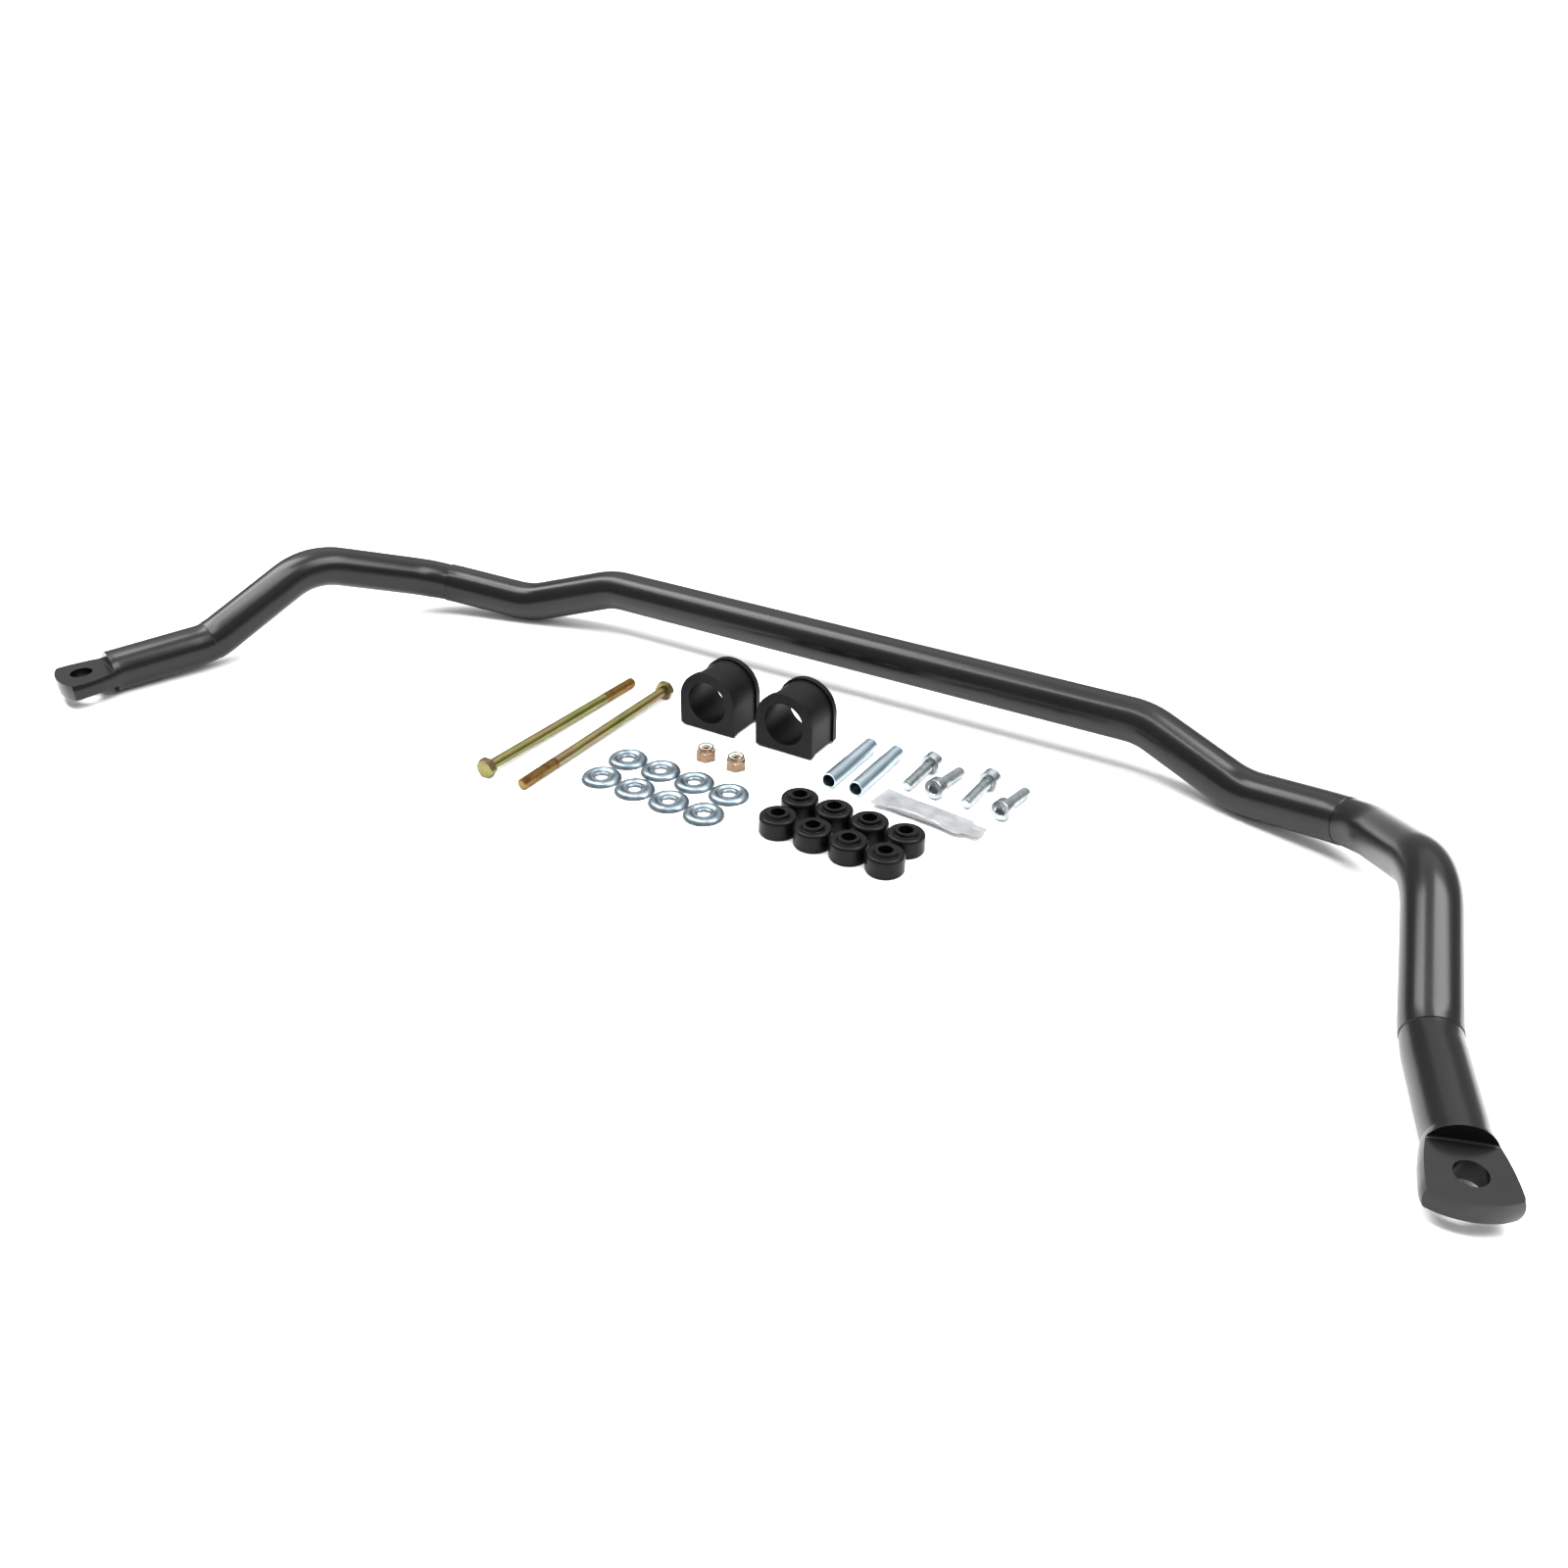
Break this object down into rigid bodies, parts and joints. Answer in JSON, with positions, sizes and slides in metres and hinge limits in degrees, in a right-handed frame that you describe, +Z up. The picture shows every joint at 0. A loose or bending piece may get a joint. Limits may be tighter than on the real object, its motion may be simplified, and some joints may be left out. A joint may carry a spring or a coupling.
{
  "type": "sway bar kit",
  "caption": "Round bent torsion bar with flat drilled ends, laid out with its loose D-bushings, end link hardware, screws and grease packet.",
  "frame": {"origin": "centre of the kit's footprint, on the floor it lies on", "axes": "+X along the straight run towards the right arm, the arms reach towards -Y, +Z up"},
  "size_m": [1.0356, 0.3562, 0.074],
  "materials": {
    "black_powder_coat": "semi-gloss powder coat, fine texture",
    "polyurethane": "matt moulded polyurethane",
    "grommet_rubber": "satin moulded rubber",
    "yellow_zinc": "yellow zinc dichromate",
    "gold_zinc": "gold zinc dichromate",
    "bright_zinc": "bright zinc plate",
    "blue_zinc": "bluish zinc plate, satin",
    "nylon": "translucent nylon",
    "clear_film": "clear crimped film",
    "grease": "pale silicone grease"
  },
  "bodies": {
    "bar_middle": {"bar_middle": "black_powder_coat"},
    "arm_left": {"arm_left": "black_powder_coat"},
    "arm_right": {"arm_right": "black_powder_coat"},
    "bushing_1": {"bushing_1": "polyurethane"},
    "bushing_2": {"bushing_2": "polyurethane"},
    "link_bolt_1": {"link_bolt_1": "yellow_zinc"},
    "link_bolt_2": {"link_bolt_2": "yellow_zinc"},
    "lock_nut_1": {"lock_nut_1": "gold_zinc", "nylon_ring_1": "nylon"},
    "lock_nut_2": {"lock_nut_2": "gold_zinc", "nylon_ring_2": "nylon"},
    "cup_washer_1": {"cup_washer_1": "bright_zinc"},
    "cup_washer_2": {"cup_washer_2": "bright_zinc"},
    "cup_washer_3": {"cup_washer_3": "bright_zinc"},
    "cup_washer_4": {"cup_washer_4": "bright_zinc"},
    "cup_washer_5": {"cup_washer_5": "bright_zinc"},
    "cup_washer_6": {"cup_washer_6": "bright_zinc"},
    "cup_washer_7": {"cup_washer_7": "bright_zinc"},
    "cup_washer_8": {"cup_washer_8": "bright_zinc"},
    "grommet_1": {"grommet_1": "grommet_rubber"},
    "grommet_2": {"grommet_2": "grommet_rubber"},
    "grommet_3": {"grommet_3": "grommet_rubber"},
    "grommet_4": {"grommet_4": "grommet_rubber"},
    "grommet_5": {"grommet_5": "grommet_rubber"},
    "grommet_6": {"grommet_6": "grommet_rubber"},
    "grommet_7": {"grommet_7": "grommet_rubber"},
    "grommet_8": {"grommet_8": "grommet_rubber"},
    "sleeve_1": {"sleeve_1": "blue_zinc"},
    "sleeve_2": {"sleeve_2": "blue_zinc"},
    "socket_screw_1": {"socket_screw_1": "bright_zinc"},
    "socket_screw_2": {"socket_screw_2": "bright_zinc"},
    "socket_screw_3": {"socket_screw_3": "bright_zinc"},
    "socket_screw_4": {"socket_screw_4": "bright_zinc"},
    "packet": {"packet_top": "clear_film", "packet_bottom": "clear_film", "packet_grease": "grease"}
  },
  "joints": [
    {"name": "arm_left_twist", "type": "hinge", "parent": "bar_middle", "child": "arm_left", "pos_m": [-0.06, 0.16198, 0.0374], "axis": [-1, 0, 0], "range_deg": [0, 15], "stiffness_Nm_per_rad": 3000},
    {"name": "arm_right_twist", "type": "hinge", "parent": "bar_middle", "child": "arm_right", "pos_m": [0.06, 0.16198, 0.0374], "axis": [-1, 0, 0], "range_deg": [0, 15], "stiffness_Nm_per_rad": 3000},
    {"name": "bushing_1_lift", "type": "slide", "parent": "bar_middle", "child": "bushing_1", "axis": [0, 0, 1], "range_m": [0, 0.15]},
    {"name": "bushing_2_lift", "type": "slide", "parent": "bar_middle", "child": "bushing_2", "axis": [0, 0, 1], "range_m": [0, 0.15]},
    {"name": "link_bolt_1_lift", "type": "slide", "parent": "bar_middle", "child": "link_bolt_1", "axis": [0, 0, 1], "range_m": [0, 0.15]},
    {"name": "link_bolt_2_lift", "type": "slide", "parent": "bar_middle", "child": "link_bolt_2", "axis": [0, 0, 1], "range_m": [0, 0.15]},
    {"name": "lock_nut_1_lift", "type": "slide", "parent": "bar_middle", "child": "lock_nut_1", "axis": [0, 0, 1], "range_m": [0, 0.15]},
    {"name": "lock_nut_2_lift", "type": "slide", "parent": "bar_middle", "child": "lock_nut_2", "axis": [0, 0, 1], "range_m": [0, 0.15]},
    {"name": "cup_washer_1_lift", "type": "slide", "parent": "bar_middle", "child": "cup_washer_1", "axis": [0, 0, 1], "range_m": [0, 0.15]},
    {"name": "cup_washer_2_lift", "type": "slide", "parent": "bar_middle", "child": "cup_washer_2", "axis": [0, 0, 1], "range_m": [0, 0.15]},
    {"name": "cup_washer_3_lift", "type": "slide", "parent": "bar_middle", "child": "cup_washer_3", "axis": [0, 0, 1], "range_m": [0, 0.15]},
    {"name": "cup_washer_4_lift", "type": "slide", "parent": "bar_middle", "child": "cup_washer_4", "axis": [0, 0, 1], "range_m": [0, 0.15]},
    {"name": "cup_washer_5_lift", "type": "slide", "parent": "bar_middle", "child": "cup_washer_5", "axis": [0, 0, 1], "range_m": [0, 0.15]},
    {"name": "cup_washer_6_lift", "type": "slide", "parent": "bar_middle", "child": "cup_washer_6", "axis": [0, 0, 1], "range_m": [0, 0.15]},
    {"name": "cup_washer_7_lift", "type": "slide", "parent": "bar_middle", "child": "cup_washer_7", "axis": [0, 0, 1], "range_m": [0, 0.15]},
    {"name": "cup_washer_8_lift", "type": "slide", "parent": "bar_middle", "child": "cup_washer_8", "axis": [0, 0, 1], "range_m": [0, 0.15]},
    {"name": "grommet_1_lift", "type": "slide", "parent": "bar_middle", "child": "grommet_1", "axis": [0, 0, 1], "range_m": [0, 0.15]},
    {"name": "grommet_2_lift", "type": "slide", "parent": "bar_middle", "child": "grommet_2", "axis": [0, 0, 1], "range_m": [0, 0.15]},
    {"name": "grommet_3_lift", "type": "slide", "parent": "bar_middle", "child": "grommet_3", "axis": [0, 0, 1], "range_m": [0, 0.15]},
    {"name": "grommet_4_lift", "type": "slide", "parent": "bar_middle", "child": "grommet_4", "axis": [0, 0, 1], "range_m": [0, 0.15]},
    {"name": "grommet_5_lift", "type": "slide", "parent": "bar_middle", "child": "grommet_5", "axis": [0, 0, 1], "range_m": [0, 0.15]},
    {"name": "grommet_6_lift", "type": "slide", "parent": "bar_middle", "child": "grommet_6", "axis": [0, 0, 1], "range_m": [0, 0.15]},
    {"name": "grommet_7_lift", "type": "slide", "parent": "bar_middle", "child": "grommet_7", "axis": [0, 0, 1], "range_m": [0, 0.15]},
    {"name": "grommet_8_lift", "type": "slide", "parent": "bar_middle", "child": "grommet_8", "axis": [0, 0, 1], "range_m": [0, 0.15]},
    {"name": "sleeve_1_lift", "type": "slide", "parent": "bar_middle", "child": "sleeve_1", "axis": [0, 0, 1], "range_m": [0, 0.15]},
    {"name": "sleeve_2_lift", "type": "slide", "parent": "bar_middle", "child": "sleeve_2", "axis": [0, 0, 1], "range_m": [0, 0.15]},
    {"name": "socket_screw_1_lift", "type": "slide", "parent": "bar_middle", "child": "socket_screw_1", "axis": [0, 0, 1], "range_m": [0, 0.15]},
    {"name": "socket_screw_2_lift", "type": "slide", "parent": "bar_middle", "child": "socket_screw_2", "axis": [0, 0, 1], "range_m": [0, 0.15]},
    {"name": "socket_screw_3_lift", "type": "slide", "parent": "bar_middle", "child": "socket_screw_3", "axis": [0, 0, 1], "range_m": [0, 0.15]},
    {"name": "socket_screw_4_lift", "type": "slide", "parent": "bar_middle", "child": "socket_screw_4", "axis": [0, 0, 1], "range_m": [0, 0.15]},
    {"name": "packet_lift", "type": "slide", "parent": "bar_middle", "child": "packet", "axis": [0, 0, 1], "range_m": [0, 0.15]}
  ]
}
